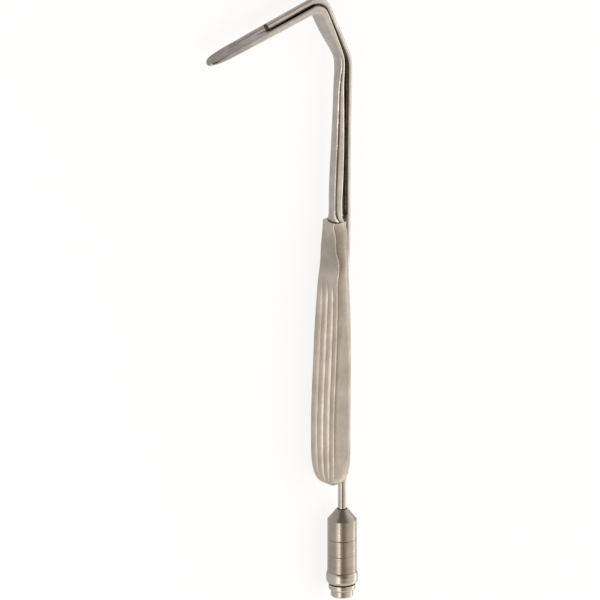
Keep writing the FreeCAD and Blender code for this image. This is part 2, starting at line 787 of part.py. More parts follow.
def handle_section(place, half_width, front, back, flute, share):
    """Return one outline across the handle: four ribs in front, bulging sides and a crowned back."""
    bulge = size("handle_side_bulge") * share
    side = half_width - bulge
    corner = size("handle_front_corner") * share
    back_corner = size("handle_back_corner") * share
    crown = size("handle_back_crown") * share
    rib_end = side - corner
    valley = side / 2
    chord = rib_end - valley
    curve = (chord * chord + flute * flute) / (2 * flute)
    half_turn = math.asin(chord / curve) / 2
    rib_mid = (front - curve * (1 - math.cos(half_turn)), rib_end - curve * math.sin(half_turn))
    lean = 1 - math.sqrt(0.5)

    def point(level, across):
        return Vector(place, level, across)

    def mirrored(points):
        return [Vector(p.x, p.y, -p.z) for p in reversed(points)]

    right = [
        [point(front - flute, 0), point(front, valley / 2), point(front - flute, valley)],
        [point(front - flute, valley), point(*rib_mid), point(front, rib_end)],
        [
            point(front, rib_end),
            point(front - corner * lean, side - corner * lean),
            point(front - corner, side),
        ],
        [
            point(front - corner, side),
            point((front - corner + back + back_corner) / 2, side + bulge),
            point(back + back_corner, side),
        ],
        [
            point(back + back_corner, side),
            point(back + back_corner * lean, side - back_corner * lean),
            point(back, side - back_corner),
        ],
    ]
    base = [[
        point(back, side - back_corner), point(back - crown, 0), point(back, back_corner - side),
    ]]
    left = [mirrored(arc) for arc in reversed(right)]
    return Part.Wire([Part.Arc(*arc).toShape() for arc in right + base + left])


def cavity_section(place, half_width, front, back, flute, share):
    """Return one outline across the hollow of the handle, a wall inside its outline."""
    wall = size("shell_wall")
    top = front - flute - wall
    bottom = back + wall
    corner = min(size("cavity_corner"), 0.4 * (top - bottom))

    def point(across, level):
        return Vector(place, level, across)

    return rounded_oblong(point, half_width - wall, bottom, top, corner)


def seam_block(level):
    """Return a block on one side of the seam between the shells: level is a Y far out on that side."""
    reach = size("belly_width")
    low = handle_start - reach
    high = handle_top + reach
    slope = (size("seam_top") - size("seam_low")) / size("handle_len")
    corners = [
        Vector(low, size("seam_low") - slope * reach, -reach),
        Vector(high, size("seam_top") + slope * reach, -reach),
        Vector(high, level, -reach),
        Vector(low, level, -reach),
    ]
    face = Part.Face(Part.makePolygon(corners + corners[:1]))
    return face.extrude(Vector(0, 0, 2 * reach))


def make_handle_shells():
    """Return the front and back shells of the handle."""
    stations = handle_stations()
    outside = Part.makeLoft([handle_section(*station) for station in stations], True, False)
    cavity_low = handle_start + size("cavity_start")
    cavity_high = handle_start + size("neck_at")
    hollow = Part.makeLoft([
        cavity_section(*station) for station in stations if cavity_low <= station[0] <= cavity_high
    ], True, False)
    groove_begin = tube_travel(handle_start - size("tube_free_len") / 2)
    groove_end = tube_travel(handle_top + size("tube_free_len"))
    groove_radius = size("tube_dia") / 2 + size("braze_gap")
    groove = swept_rod(tube_line, groove_begin, groove_end, groove_radius)
    groove_wall = swept_rod(tube_line, groove_begin, groove_end, groove_radius + size("shell_wall"))
    gap = size("braze_gap")
    tang_slot = Part.makeBox(
        size("tang_len") + 1.0, size("tang_thickness") + 2 * gap, size("tang_width") + 2 * gap,
        Vector(
            handle_top - size("tang_len") - gap,
            size("bar_back_root") + size("tang_inset") - gap,
            -size("tang_width") / 2 - gap,
        ),
    )
    between_flats = Part.makeBox(
        size("handle_len") + 2.0, 4 * size("belly_front"), size("handle_flats"),
        Vector(handle_start - 1.0, -2 * size("belly_front"), -size("handle_flats") / 2),
    )
    body = outside.common(between_flats).cut(hollow.cut(groove_wall)).cut(groove).cut(tang_slot)
    front = body.common(seam_block(2 * size("belly_front")))
    back = body.common(seam_block(-size("belly_front")))
    return front, back


def add_piece(label, shape):
    """Add a piece with its shape and its place in the row's frame."""
    if shape.ShapeType == "Compound" and len(shape.Solids) == 1:
        shape = shape.Solids[0]
    piece = doc.addObject("Part::Feature", label)
    piece.Label = label
    piece.Shape = shape
    piece.Placement = FreeCAD.Placement(Vector(-size("post_len"), 0, 0), FreeCAD.Rotation())
    return piece


front_shell, back_shell = make_handle_shells()
ferrule_begin = tube_line.length - size("exit_ferrule_len")
bundle_hole = worth(BUNDLE_CLEAR)


def swept_ring(begin, end, outer, inner):
    """Return a round pipe along a stretch of the light tube's course."""
    return swept_rod(tube_line, begin, end, outer).cut(swept_rod(tube_line, begin, end, inner))


shaped = [
    add_piece("blade_and_shank", make_blade_and_shank()),
    add_piece("handle_front_shell", front_shell),
    add_piece("handle_back_shell", back_shell),
    add_piece("light_tube", swept_ring(
        tube_travel(worth(TUBE_FOOT)), tube_line.length, size("tube_dia") / 2, size("tube_bore") / 2,
    )),
    add_piece("fibre_bundle", swept_rod(tube_line, 0.0, tube_line.length, size("bundle_dia") / 2)),
    add_piece("fibre_sheath", swept_ring(
        tube_travel(worth(FERRULE_TOP)), ferrule_begin, size("sheath_dia") / 2, bundle_hole,
    )),
    add_piece("exit_ferrule", swept_ring(
        ferrule_begin, tube_line.length, size("exit_ferrule_dia") / 2, bundle_hole,
    )),
]

doc.recompute()
faults = [item.Label for item in doc.Objects if {"Invalid", "Error"} & set(item.State)]
if faults:
    raise RuntimeError(f"objects that failed: {faults}")
for piece in turned + shaped:
    if piece.Shape.isNull() or not piece.Shape.isValid():
        raise RuntimeError(f"{piece.Label} has no valid shape")
for piece in turned + shaped:
    piece.Shape.exportStep(f"parts/{piece.Label}.step")
    box = piece.Shape.BoundBox
    print(f"{piece.Label:20s} solids {len(piece.Shape.Solids)} volume {piece.Shape.Volume:9.2f}"
          f" x {box.XMin:7.2f} {box.XMax:7.2f} y {box.YMin:6.2f} {box.YMax:6.2f} z {box.ZMin:6.2f}")
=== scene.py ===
"""Dress the lighted hand retractor: finishes, fine forms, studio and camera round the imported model.

The instrument lies on its side, with X from its light connector to its blade, Y the way the blade
points and Z up. The corners of a course and names that end in _mm are in millimetres, and all other
lengths are in metres.
"""
import logging
import math
from dataclasses import dataclass, field
from enum import Enum
from typing import Optional, Sequence

import bmesh
import bpy
from mathutils import Matrix, Vector


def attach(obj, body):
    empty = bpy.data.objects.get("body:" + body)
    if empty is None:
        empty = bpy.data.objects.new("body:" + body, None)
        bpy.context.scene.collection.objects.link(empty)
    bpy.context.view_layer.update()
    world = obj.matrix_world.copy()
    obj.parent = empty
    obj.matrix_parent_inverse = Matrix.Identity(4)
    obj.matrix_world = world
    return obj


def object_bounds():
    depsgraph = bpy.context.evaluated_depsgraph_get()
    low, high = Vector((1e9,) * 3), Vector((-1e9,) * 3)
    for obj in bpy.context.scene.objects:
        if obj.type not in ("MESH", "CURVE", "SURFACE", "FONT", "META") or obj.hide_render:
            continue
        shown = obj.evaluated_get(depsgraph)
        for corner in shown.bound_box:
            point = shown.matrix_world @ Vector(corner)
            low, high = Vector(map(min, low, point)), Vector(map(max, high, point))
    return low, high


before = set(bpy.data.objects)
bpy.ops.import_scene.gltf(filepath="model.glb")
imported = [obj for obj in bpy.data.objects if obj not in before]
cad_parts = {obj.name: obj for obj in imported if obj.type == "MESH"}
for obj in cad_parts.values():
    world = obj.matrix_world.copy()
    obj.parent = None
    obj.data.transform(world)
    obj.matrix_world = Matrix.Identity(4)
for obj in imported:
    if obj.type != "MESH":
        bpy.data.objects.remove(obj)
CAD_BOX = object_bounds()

log = logging.getLogger("retractor")
MM = 0.001
BODY = "root"

Colour = tuple[float, float, float, float]
Tree = bpy.types.NodeTree
Socket = bpy.types.NodeSocket

# The sRGB curve has a straight foot up to its knee, and then follows a power
SRGB_KNEE = 0.04045
SRGB_FOOT = 12.92
SRGB_OFFSET = 0.055
SRGB_POWER = 2.4
BYTE = 255

NOISE_DETAIL = 3.0
BUMP_STRENGTH = 0.5
# Vertices closer than this are one
MERGE_MM = 0.0005
# Edges that fold by more than this stay sharp
SHARP_DEGREES = 40.0
# Rows of close-packed circles lie this share of their pitch apart
ROW_RISE = math.sqrt(0.75)


def linear(hex_colour: str) -> Colour:
    """Turn an sRGB hex colour into linear light.

    Args:
        hex_colour: Six hex digits.

    Returns:
        Red, green, blue and an alpha of one.
    """
    parts = (int(hex_colour[place:place + 2], 16) / BYTE for place in (0, 2, 4))
    red, green, blue = (
        part / SRGB_FOOT if part <= SRGB_KNEE
        else ((part + SRGB_OFFSET) / (1 + SRGB_OFFSET)) ** SRGB_POWER
        for part in parts
    )
    return red, green, blue, 1.0


def add_node(
    tree: Tree,
    kind: str,
    settings: Optional[dict[str, object]] = None,
    inputs: Optional[dict[str | int, object]] = None,
) -> bpy.types.Node:
    """Add one node with its settings, and with a value or a link for each input named.

    Args:
        tree: The node tree that gets the node.
        kind: The node's type name.
        settings: Properties of the node itself.
        inputs: By input name or number, the output socket that feeds it or its fixed value.

    Returns:
        The new node.
    """
    node = tree.nodes.new(kind)
    for name, value in (settings or {}).items():
        setattr(node, name, value)
    for name, given in (inputs or {}).items():
        if isinstance(given, Socket):
            tree.links.new(given, node.inputs[name])
        else:
            node.inputs[name].default_value = given
    return node


def add_math(tree: Tree, operation: str, *terms: Socket | float) -> Socket:
    """Add a calculation.

    Args:
        tree: The node tree.
        operation: What it does with its terms.
        terms: Sockets or numbers.

    Returns:
        The result.
    """
    return add_node(
        tree, "ShaderNodeMath", {"operation": operation}, dict(enumerate(terms))
    ).outputs[0]


def add_fade(
    tree: Tree, value: Socket, begin: float, end: float, low: float = 0.0, high: float = 1.0
) -> Socket:
    """Add a smooth change from one level to another.

    Args:
        tree: The node tree.
        value: What decides how far the change has gone.
        begin: The value at which it begins.
        end: The value at which it ends.
        low: The level before it.
        high: The level after it.

    Returns:
        The level.
    """
    return add_node(
        tree, "ShaderNodeMapRange", {"interpolation_type": "SMOOTHSTEP"},
        {"Value": value, "From Min": begin, "From Max": end, "To Min": low, "To Max": high},
    ).outputs["Result"]


def add_noise(tree: Tree, place: Socket, size_mm: float, roughness: float) -> Socket:
    """Add a noise pattern.

    Args:
        tree: The node tree.
        place: The coordinates that it reads.
        size_mm: The size of its patches.
        roughness: How strong its finer detail is.

    Returns:
        Its level.
    """
    return add_node(tree, "ShaderNodeTexNoise", inputs={
        "Vector": place, "Scale": 1 / (size_mm * MM),
        "Detail": NOISE_DETAIL, "Roughness": roughness,
    }).outputs["Fac"]


def add_ramp(tree: Tree, level: Socket, stops: Sequence[tuple[float, Colour]]) -> Socket:
    """Add a colour ramp.

    Args:
        tree: The node tree.
        level: What the ramp reads.
        stops: Positions with their colours, from the lowest to the highest.

    Returns:
        The colour.
    """
    node = add_node(tree, "ShaderNodeValToRGB", inputs={"Fac": level})
    elements = node.color_ramp.elements
    for element, (position, colour) in zip(elements, (stops[0], stops[-1])):
        element.position = position
        element.color = colour
    for position, colour in stops[1:-1]:
        elements.new(position).color = colour
    return node.outputs["Color"]


def add_bump(tree: Tree, height: Socket, bump_mm: float) -> Socket:
    """Add a bump.

    Args:
        tree: The node tree.
        height: The pattern that it follows.
        bump_mm: How high it stands.

    Returns:
        The normal.
    """
    return add_node(tree, "ShaderNodeBump", inputs={
        "Strength": BUMP_STRENGTH, "Distance": bump_mm * MM, "Height": height,
    }).outputs["Normal"]


def new_material(name: str) -> bpy.types.Material:
    """Make a material with an empty node tree.

    Args:
        name: The material's name.

    Returns:
        The material.
    """
    made = bpy.data.materials.new(name)
    made.use_nodes = True
    made.node_tree.nodes.clear()
    return made


def add_object(name: str, data: bpy.types.ID) -> bpy.types.Object:
    """Put a new object in the scene.

    Args:
        name: The object's name.
        data: Its mesh, lamp or camera.

    Returns:
        The object.
    """
    added = bpy.data.objects.new(name, data)
    bpy.context.scene.collection.objects.link(added)
    return added


def placed(right: Vector, up: Vector, back: Vector, spot: Vector) -> Matrix:
    """Work out the matrix of something that is turned and moved.

    Args:
        right: Where its own X points.
        up: Where its own Y points.
        back: Where its own Z points.
        spot: Where its origin goes.

    Returns:
        The matrix.
    """
    return Matrix.Translation(spot) @ Matrix((right, up, back)).transposed().to_4x4()


class Grain(Enum):
    """How a finish's marks are drawn out: the pattern's stretch along its run, across and up."""

    DRAWN = (0.03, 1.0, 1.0)
    TURNED = (1.0, 0.02, 0.02)
    BLASTED = (0.6, 1.0, 1.0)


class Mixing(Enum):
    """A Mix node's data type, the numbers of its two inputs and the number of its output."""

    FLOAT = ("FLOAT", 2, 3, 0)
    VECTOR = ("VECTOR", 4, 5, 1)

    def add(self, tree: Tree, share: Socket | float, first: Socket, second: Socket) -> Socket:
        """Add a mix.

        Args:
            tree: The node tree.
            share: How much of the second there is.
            first: What shows at a share of none.
            second: What shows at a share of one.

        Returns:
            The mix.
        """
        data_type, low, high, out = self.value
        return add_node(
            tree, "ShaderNodeMix", {"data_type": data_type}, {0: share, low: first, high: second}
        ).outputs[out]


@dataclass(frozen=True)
class Run:
    """A stretch of the instrument whose marks follow a heading of their own, in degrees from X."""

    heading: float
    axis: str
    begin_mm: float
    blend_mm: float = 3.0


@dataclass(frozen=True)
class PaintedShadeStretch:
    """A stretch darkened by painted shade, told by its place on one axis."""

    axis: str
    begin_mm: float
    full_mm: float
    end_mm: float
    tone: float


# Along the strip, from the kink on, and along the blade, from the bend on
ALONG_COURSE = (Run(25.2, "X", 208.0), Run(103.0, "Y", 13.5))


@dataclass(frozen=True)
class SteelFinish:
    """Steel or braze with a worked surface: fine lines or a blasted grain over cloudy stains.

    The colour is darkened as painted shade where the surface faces up or down squarely,
    and in each stretch of painted shade.
    """

    name: str
    light: str
    dark: str
    grain: Grain
    line_mm: float
    line_share: float
    roughness: float
    roughness_spread: float
    bump_mm: float
    cloud_mm: float = 7.0
    runs: tuple[Run, ...] = ()
    painted_shade: tuple[PaintedShadeStretch, ...] = ()
    painted_side_shade: float = 1.0
    noise_roughness: float = 0.55
    dark_level: float = 0.36
    light_level: float = 0.64
    painted_side_shade_begins: float = 0.82
    painted_side_shade_full: float = 0.97

    def follow(self, tree: Tree, place: Socket) -> Socket:
        """Stretch the pattern along the piece, with a new heading for each run.

        Args:
            tree: The material's nodes.
            place: Object coordinates.

        Returns:
            The stretched coordinates.
        """
        stretch = Vector(self.grain.value)
        split = add_node(tree, "ShaderNodeSeparateXYZ", inputs={"Vector": place})
        result = add_node(
            tree, "ShaderNodeMapping", inputs={"Scale": stretch, "Vector": place}
        ).outputs["Vector"]
        for run in self.runs:
            turn = Vector((0.0, 0.0, -math.radians(run.heading)))
            turned = add_node(
                tree, "ShaderNodeMapping", inputs={"Rotation": turn, "Vector": place}
            ).outputs["Vector"]
            drawn = add_node(
                tree, "ShaderNodeMapping", inputs={"Scale": stretch, "Vector": turned}
            ).outputs["Vector"]
            share = add_fade(
                tree, split.outputs[run.axis],
                (run.begin_mm - run.blend_mm) * MM, (run.begin_mm + run.blend_mm) * MM,
            )
            result = Mixing.VECTOR.add(tree, share, result, drawn)
        return result

    def tone(self, tree: Tree, place: Socket) -> Socket:
        """Work out how far painted shade darkens the steel at each place.

        Args:
            tree: The material's nodes.
            place: Object coordinates.

        Returns:
            One where no shade is painted, less on the flat sides and stretches with painted shade.
        """
        normal = add_node(tree, "ShaderNodeNewGeometry").outputs["Normal"]
        facing = add_node(tree, "ShaderNodeSeparateXYZ", inputs={"Vector": normal}).outputs["Z"]
        result = add_fade(
            tree, add_math(tree, "ABSOLUTE", facing),
            self.painted_side_shade_begins, self.painted_side_shade_full, 1.0, self.painted_side_shade,
        )
        split = add_node(tree, "ShaderNodeSeparateXYZ", inputs={"Vector": place})
        for shade_stretch in self.painted_shade:
            level = split.outputs[shade_stretch.axis]
            begin, full, end = (edge * MM for edge in (shade_stretch.begin_mm, shade_stretch.full_mm, shade_stretch.end_mm))
            entered = add_fade(tree, level, begin, full, 1.0, shade_stretch.tone)
            left = add_fade(tree, level, full, end, 1.0, 1.0 / shade_stretch.tone)
            for share in (entered, left):
                result = add_math(tree, "MULTIPLY", result, share)
        return result

    def material(self) -> bpy.types.Material:
        """Build the finish as a node material that reads Object coordinates.

        Returns:
            The material.
        """
        made = new_material(self.name)
        tree = made.node_tree
        place = add_node(tree, "ShaderNodeTexCoord").outputs["Object"]
        lines = add_noise(tree, self.follow(tree, place), self.line_mm, self.noise_roughness)
        stains = add_noise(tree, place, self.cloud_mm, self.noise_roughness)
        cloud = Mixing.FLOAT.add(tree, self.line_share, stains, lines)
        colour = add_ramp(tree, cloud, (
            (self.dark_level, linear(self.dark)), (self.light_level, linear(self.light)),
        ))
        rough = add_node(tree, "ShaderNodeMapRange", inputs={
            "Value": cloud, "From Min": self.dark_level, "From Max": self.light_level,
            "To Min": self.roughness + self.roughness_spread,
            "To Max": self.roughness - self.roughness_spread,
        }).outputs["Result"]
        colour_with_painted_shade = add_node(
            tree, "ShaderNodeVectorMath", {"operation": "SCALE"},
            {0: colour, "Scale": self.tone(tree, place)},
        ).outputs["Vector"]
        shader = add_node(tree, "ShaderNodeBsdfPrincipled", inputs={
            "Metallic": 1.0, "Base Color": colour_with_painted_shade, "Roughness": rough,
            "Normal": add_bump(tree, lines, self.bump_mm),
        })
        add_node(tree, "ShaderNodeOutputMaterial", inputs={"Surface": shader.outputs["BSDF"]})
        return made


# Stainless bar, ground and then brushed along its length: fine streaks over faint grey clouds
BRUSHED_BAR = SteelFinish(
    "brushed_stainless_bar", "AFA8A2", "98918C", Grain.DRAWN, line_mm=0.35, line_share=0.45,
    roughness=0.16, roughness_spread=0.04, bump_mm=0.006, cloud_mm=4.0, runs=ALONG_COURSE,
    # Painted shade: the blade is darker along Y, from 34 to 90 mm
    painted_shade=(PaintedShadeStretch("Y", 34.0, 60.0, 90.0, 0.62),),
)
# Stamped stainless shells, blasted with glass beads and lightly brushed: satin, broad highlights
SATIN_SHELL = SteelFinish(
    "satin_blasted_stainless", "B9AFA5", "A79D92", Grain.BLASTED, line_mm=0.5, line_share=0.3,
    roughness=0.40, roughness_spread=0.04, bump_mm=0.004,
    # Painted shade: darker round the thumb rest, in X from 124.5 to 150 mm, and on the flat sides
    # facing up or down
    painted_shade=(PaintedShadeStretch("X", 124.5, 130.0, 150.0, 0.78),), painted_side_shade=0.74,
)
# Drawn stainless tube, polished: long crisp highlights with faint draw lines
DRAWN_TUBE = SteelFinish(
    "drawn_stainless_tube", "AFA7A2", "9A918B", Grain.DRAWN, line_mm=0.3, line_share=0.4,
    roughness=0.17, roughness_spread=0.04, bump_mm=0.003, runs=ALONG_COURSE,
)
# Turned stainless, polished on the lathe: a smooth skin with very fine tool rings round the axis
TURNED_BARREL = SteelFinish(
    "turned_stainless", "9C938A", "8C837A", Grain.TURNED, line_mm=0.6, line_share=0.3,
    roughness=0.27, roughness_spread=0.03, bump_mm=0.0004,
)
# The same turned steel on the two adapters, in a lighter colour that paints light on them
PAINTED_LIGHT_ADAPTER = SteelFinish(
    "turned_stainless_painted_light", "B1A89F", "A1988F", Grain.TURNED, line_mm=0.6, line_share=0.3,
    roughness=0.27, roughness_spread=0.03, bump_mm=0.0004,
)
# Silver braze run between tube and bar, dark brown: dull, slightly lumpy
BROWN_BRAZE = SteelFinish(
    "dark_brown_braze", "645A4D", "3E362C", Grain.BLASTED, line_mm=0.4, line_share=0.5,
    roughness=0.40, roughness_spread=0.08, bump_mm=0.008, cloud_mm=2.5,
)
# Silver braze with a copper tint where the tube leaves the handle: a little pink, finely lumpy
COPPER_BRAZE = SteelFinish(
    "copper_tinted_braze", "B48F7C", "8B6654", Grain.BLASTED, line_mm=0.3, line_share=0.5,
    roughness=0.36, roughness_spread=0.08, bump_mm=0.012, cloud_mm=1.2,
)


@dataclass(frozen=True)
class PlainFinish:
    """A rubber, plastic, brass, sapphire or glass with a fine mottle in colour and height."""

    name: str
    light: str
    dark: str
    roughness: float
    mottle_mm: float
    bump_mm: float
    metallic: float = 0.0
    transmission: float = 0.0
    noise_roughness: float = 0.5
    dark_level: float = 0.35
    light_level: float = 0.65

    def material(self) -> bpy.types.Material:
        """Build the finish as a node material that reads Object coordinates.

        Returns:
            The material.
        """
        made = new_material(self.name)
        tree = made.node_tree
        place = add_node(tree, "ShaderNodeTexCoord").outputs["Object"]
        mottle = add_noise(tree, place, self.mottle_mm, self.noise_roughness)
        colour = add_ramp(tree, mottle, (
            (self.dark_level, linear(self.dark)), (self.light_level, linear(self.light)),
        ))
        shader = add_node(tree, "ShaderNodeBsdfPrincipled", inputs={
            "Metallic": self.metallic, "Roughness": self.roughness,
            "Transmission Weight": self.transmission, "Base Color": colour,
            "Normal": add_bump(tree, mottle, self.bump_mm),
        })
        add_node(tree, "ShaderNodeOutputMaterial", inputs={"Surface": shader.outputs["BSDF"]})
        return made


# Moulded nitrile rubber: near black, dull
NITRILE = PlainFinish(
    "nitrile_rubber", "37322C", "26221E", roughness=0.62, mottle_mm=0.6, bump_mm=0.01,
)
# Heat-shrunk polyolefin sleeve: dark grey, silky
SHRINK_SLEEVE = PlainFinish(
    "polyolefin_sleeve", "38373A", "2A292B", roughness=0.48, mottle_mm=0.9, bump_mm=0.008,
)
# Turned brass: yellow, a little tarnished
TURNED_BRASS = PlainFinish(
    "turned_brass", "C4A766", "A98C4E", roughness=0.32, mottle_mm=0.5, bump_mm=0.004, metallic=1.0,
)
# Turned brass, coloured dark brown
DARK_BRASS = PlainFinish(
    "dark_brown_brass", "5B4F40", "3E352B", roughness=0.42, mottle_mm=0.4, bump_mm=0.004,
    metallic=1.0,
)
# Ground and polished sapphire: clear and cool
SAPPHIRE = PlainFinish(
    "polished_sapphire", "E8F0F2", "DDE7EA", roughness=0.05, mottle_mm=1.2, bump_mm=0.001,
    transmission=0.9,
)
# Resin between the glass fibres, ground and polished with them: milky amber
FIBRE_GLASS = PlainFinish(
    "fibre_bundle_glass", "8F8568", "6E6248", roughness=0.22, mottle_mm=0.3, bump_mm=0.002,
    transmission=0.2,
)
# Drawn glass fibre, polished at its end: clear, faintly warm
FIBRE_END = PlainFinish(
    "fibre_end_glass", "8E8772", "6B6452", roughness=0.08, mottle_mm=0.05, bump_mm=0.0005,
    transmission=0.4,
)


@dataclass
class Dressing:
    """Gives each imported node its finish."""

    finishes: tuple[tuple[SteelFinish | PlainFinish, tuple[str, ...]], ...] = (
        (SATIN_SHELL, ("handle_front_shell", "handle_back_shell")),
        (BRUSHED_BAR, ("blade_and_shank",)),
        (DRAWN_TUBE, ("light_tube",)),
        (TURNED_BARREL, ("lower_sleeve", "upper_sleeve", "cone_cap", "light_post")),
        (PAINTED_LIGHT_ADAPTER, ("end_adapter", "bead_adapter")),
        (NITRILE, ("adapter_seal", "sleeve_seal", "cap_seal")),
        (TURNED_BRASS, ("entry_ferrule",)),
        (DARK_BRASS, ("exit_ferrule",)),
        (SAPPHIRE, ("entry_window",)),
        (FIBRE_GLASS, ("fibre_bundle",)),
        (SHRINK_SLEEVE, ("fibre_sheath",)),
    )

    def build(self) -> None:
        """Dress every node."""
        for finish, names in self.finishes:
            made = finish.material()
            for name in names:
                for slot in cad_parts[name].material_slots:
                    slot.material = made
                log.info("dressed %s in %s", name, finish.name)


@dataclass(frozen=True)
class Corner:
    """A corner of a course in the plane of the hook, with its bend's radius, in millimetres."""

    x: float
    y: float
    radius: float = 0.0


# Axis of the fibres and their tube, from the window inside the connector to the end on the blade
TUBE_COURSE = (
    Corner(0.8, 0.0), Corner(107.9, 0.0, 347.45), Corner(136.65, -2.15, 248.25),
    Corner(159.65, -1.95, 814.26), Corner(207.475, -2.75, 15.0), Corner(234.198, 9.825, 7.0),
    Corner(227.753, 36.529),
)
TUBE_END_HEADING = math.radians(103.57)


@dataclass
class Course:
    """Evenly spaced places along straight runs joined by tangent arcs."""

    corners: Sequence[Corner]
    step_mm: float = 0.5

    def stations(self) -> list[tuple[Vector, Vector]]:
        """Walk the course.

        Returns:
            Places in metres, each with its direction of travel.
        """
        spots = [Vector((corner.x, corner.y, 0.0)) for corner in self.corners]
        found: list[tuple[Vector, Vector]] = []
        start = spots[0]
        for index in range(1, len(spots)):
            heading = (spots[index] - start).normalized()
            if index == len(spots) - 1:
                self.walk(found, start, heading, 0.0, (spots[index] - start).length)
                break
            onward = (spots[index + 1] - spots[index]).normalized()
            turn = math.atan2(heading.cross(onward).z, heading.dot(onward))
            radius = self.corners[index].radius
            trim = radius * math.tan(abs(turn) / 2)
            self.walk(found, start, heading, 0.0, (spots[index] - start).length - trim)
            arc_start = spots[index] - heading * trim
            bend = math.copysign(1 / radius, turn)
            self.walk(found, arc_start, heading, bend, radius * abs(turn))
            start = spots[index] + onward * trim
        return found

    def walk(
        self,
        found: list[tuple[Vector, Vector]],
        start: Vector,
        heading: Vector,
        bend: float,
        length: float,
    ) -> None:
        """Add the places of one run or arc.

        Args:
            found: The list that grows.
            start: Where the run begins, in millimetres.
            heading: Its direction there.
            bend: Its curvature, positive to the left, none on a straight run.
            length: How long it is, in millimetres.
        """
        steps = max(1, round(length / self.step_mm))
        aim = math.atan2(heading.y, heading.x)
        for index in range(steps):
            travel = length * index / steps
            angle = aim + bend * travel
            if bend:
                along = (math.sin(angle) - math.sin(aim)) / bend
                aside = (math.cos(aim) - math.cos(angle)) / bend
                place = start + Vector((along, aside, 0.0))
            else:
                place = start + heading * travel
            found.append((place * MM, Vector((math.cos(angle), math.sin(angle), 0.0))))


def add_socket(tree: Tree, name: str, kind: str, out: bool = False) -> str:
    """Add a named socket to a node group's interface.

    Args:
        tree: The node group.
        name: The socket's name.
        kind: The socket's type name.
        out: Whether it is an output.

    Returns:
        The socket's identifier.
    """
    side = "OUTPUT" if out else "INPUT"
    return tree.interface.new_socket(name, in_out=side, socket_type=kind).identifier


def evaluated_piece(
    name: str, base: bpy.types.Mesh, tree: Tree, inputs: dict[str, object]
) -> bpy.types.Mesh:
    """Run a node group on a mesh and keep the plain result.

    Args:
        name: Name for the result.
        base: The mesh that the group starts from.
        tree: The node group.
        inputs: Values by socket identifier.

    Returns:
        A plain mesh with doubles merged and normals pointing outwards.
    """
    holder = add_object(f"{name}_holder", base)
    modifier = holder.modifiers.new(name, "NODES")
    modifier.node_group = tree
    for identifier, value in inputs.items():
        modifier[identifier] = value
    seen = holder.evaluated_get(bpy.context.evaluated_depsgraph_get())
    mesh = bpy.data.meshes.new_from_object(seen)
    bpy.data.objects.remove(holder)
    mesh.name = name
    form = bmesh.new()
    form.from_mesh(mesh)
    bmesh.ops.remove_doubles(form, verts=form.verts, dist=MERGE_MM * MM)
    bmesh.ops.recalc_face_normals(form, faces=form.faces)
    form.to_mesh(mesh)
    form.free()
    return mesh


def place_piece(name: str, mesh: bpy.types.Mesh) -> None:
    """Put a finished mesh in the scene and let it ride on the instrument.

    Args:
        name: The piece's name.
        mesh: Its mesh, in the row's frame.
    """
    mesh.shade_smooth()
    mesh.set_sharp_from_angle(angle=math.radians(SHARP_DEGREES))
    piece = add_object(name, mesh)
    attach(piece, BODY)


@dataclass
class BrazeSeam:
    """A round bead of braze that follows the light tube, set off towards the bar or handle."""

    name: str
    finish: SteelFinish
    begin_mm: float
    end_mm: float
    radius_mm: float
    shift_mm: float
    slot: str = "tube_steel"
    sides: int = 40

    def tree(self) -> tuple[Tree, str, str]:
        """Make the node group that sweeps a circle along the edges it is given.

        Returns:
            The group and the identifiers of its radius and material inputs.
        """
        tree = bpy.data.node_groups.new(f"{self.name}_sweep", "GeometryNodeTree")
        add_socket(tree, "Path", "NodeSocketGeometry")
        radius = add_socket(tree, "Bead Radius", "NodeSocketFloat")
        material = add_socket(tree, "Finish", "NodeSocketMaterial")
        add_socket(tree, "Bead", "NodeSocketGeometry", out=True)
        given = add_node(tree, "NodeGroupInput")
        path = add_node(tree, "GeometryNodeMeshToCurve", inputs={"Mesh": given.outputs["Path"]})
        ring = add_node(tree, "GeometryNodeCurvePrimitiveCircle", inputs={
            "Resolution": self.sides, "Radius": given.outputs["Bead Radius"],
        })
        swept = add_node(tree, "GeometryNodeCurveToMesh", inputs={
            "Fill Caps": True, "Curve": path.outputs["Curve"],
            "Profile Curve": ring.outputs["Curve"],
        })
        finished = add_node(tree, "GeometryNodeSetMaterial", inputs={
            "Geometry": swept.outputs["Mesh"], "Material": given.outputs["Finish"],
        })
        add_node(tree, "NodeGroupOutput", inputs={"Bead": finished.outputs["Geometry"]})
        return tree, radius, material

    def build(self) -> None:
        """Sweep the bead and put it on the instrument."""
        spots = []
        travel = 0.0
        before = None
        for place, heading in Course(TUBE_COURSE).stations():
            travel += (place - before).length / MM if before is not None else 0.0
            before = place
            if self.begin_mm <= travel <= self.end_mm:
                towards_bar = Vector((-heading.y, heading.x, 0.0))
                spots.append(place + towards_bar * self.shift_mm * MM)
        base = bpy.data.meshes.new(f"{self.name}_path")
        base.from_pydata(spots, [(index, index + 1) for index in range(len(spots) - 1)], [])
        tree, radius, material = self.tree()
        mesh = evaluated_piece(self.name, base, tree, {
            radius: self.radius_mm * MM, material: self.finish.material(),
        })
        place_piece(self.name, mesh)
        log.info("laid %s over %d stations", self.name, len(spots))


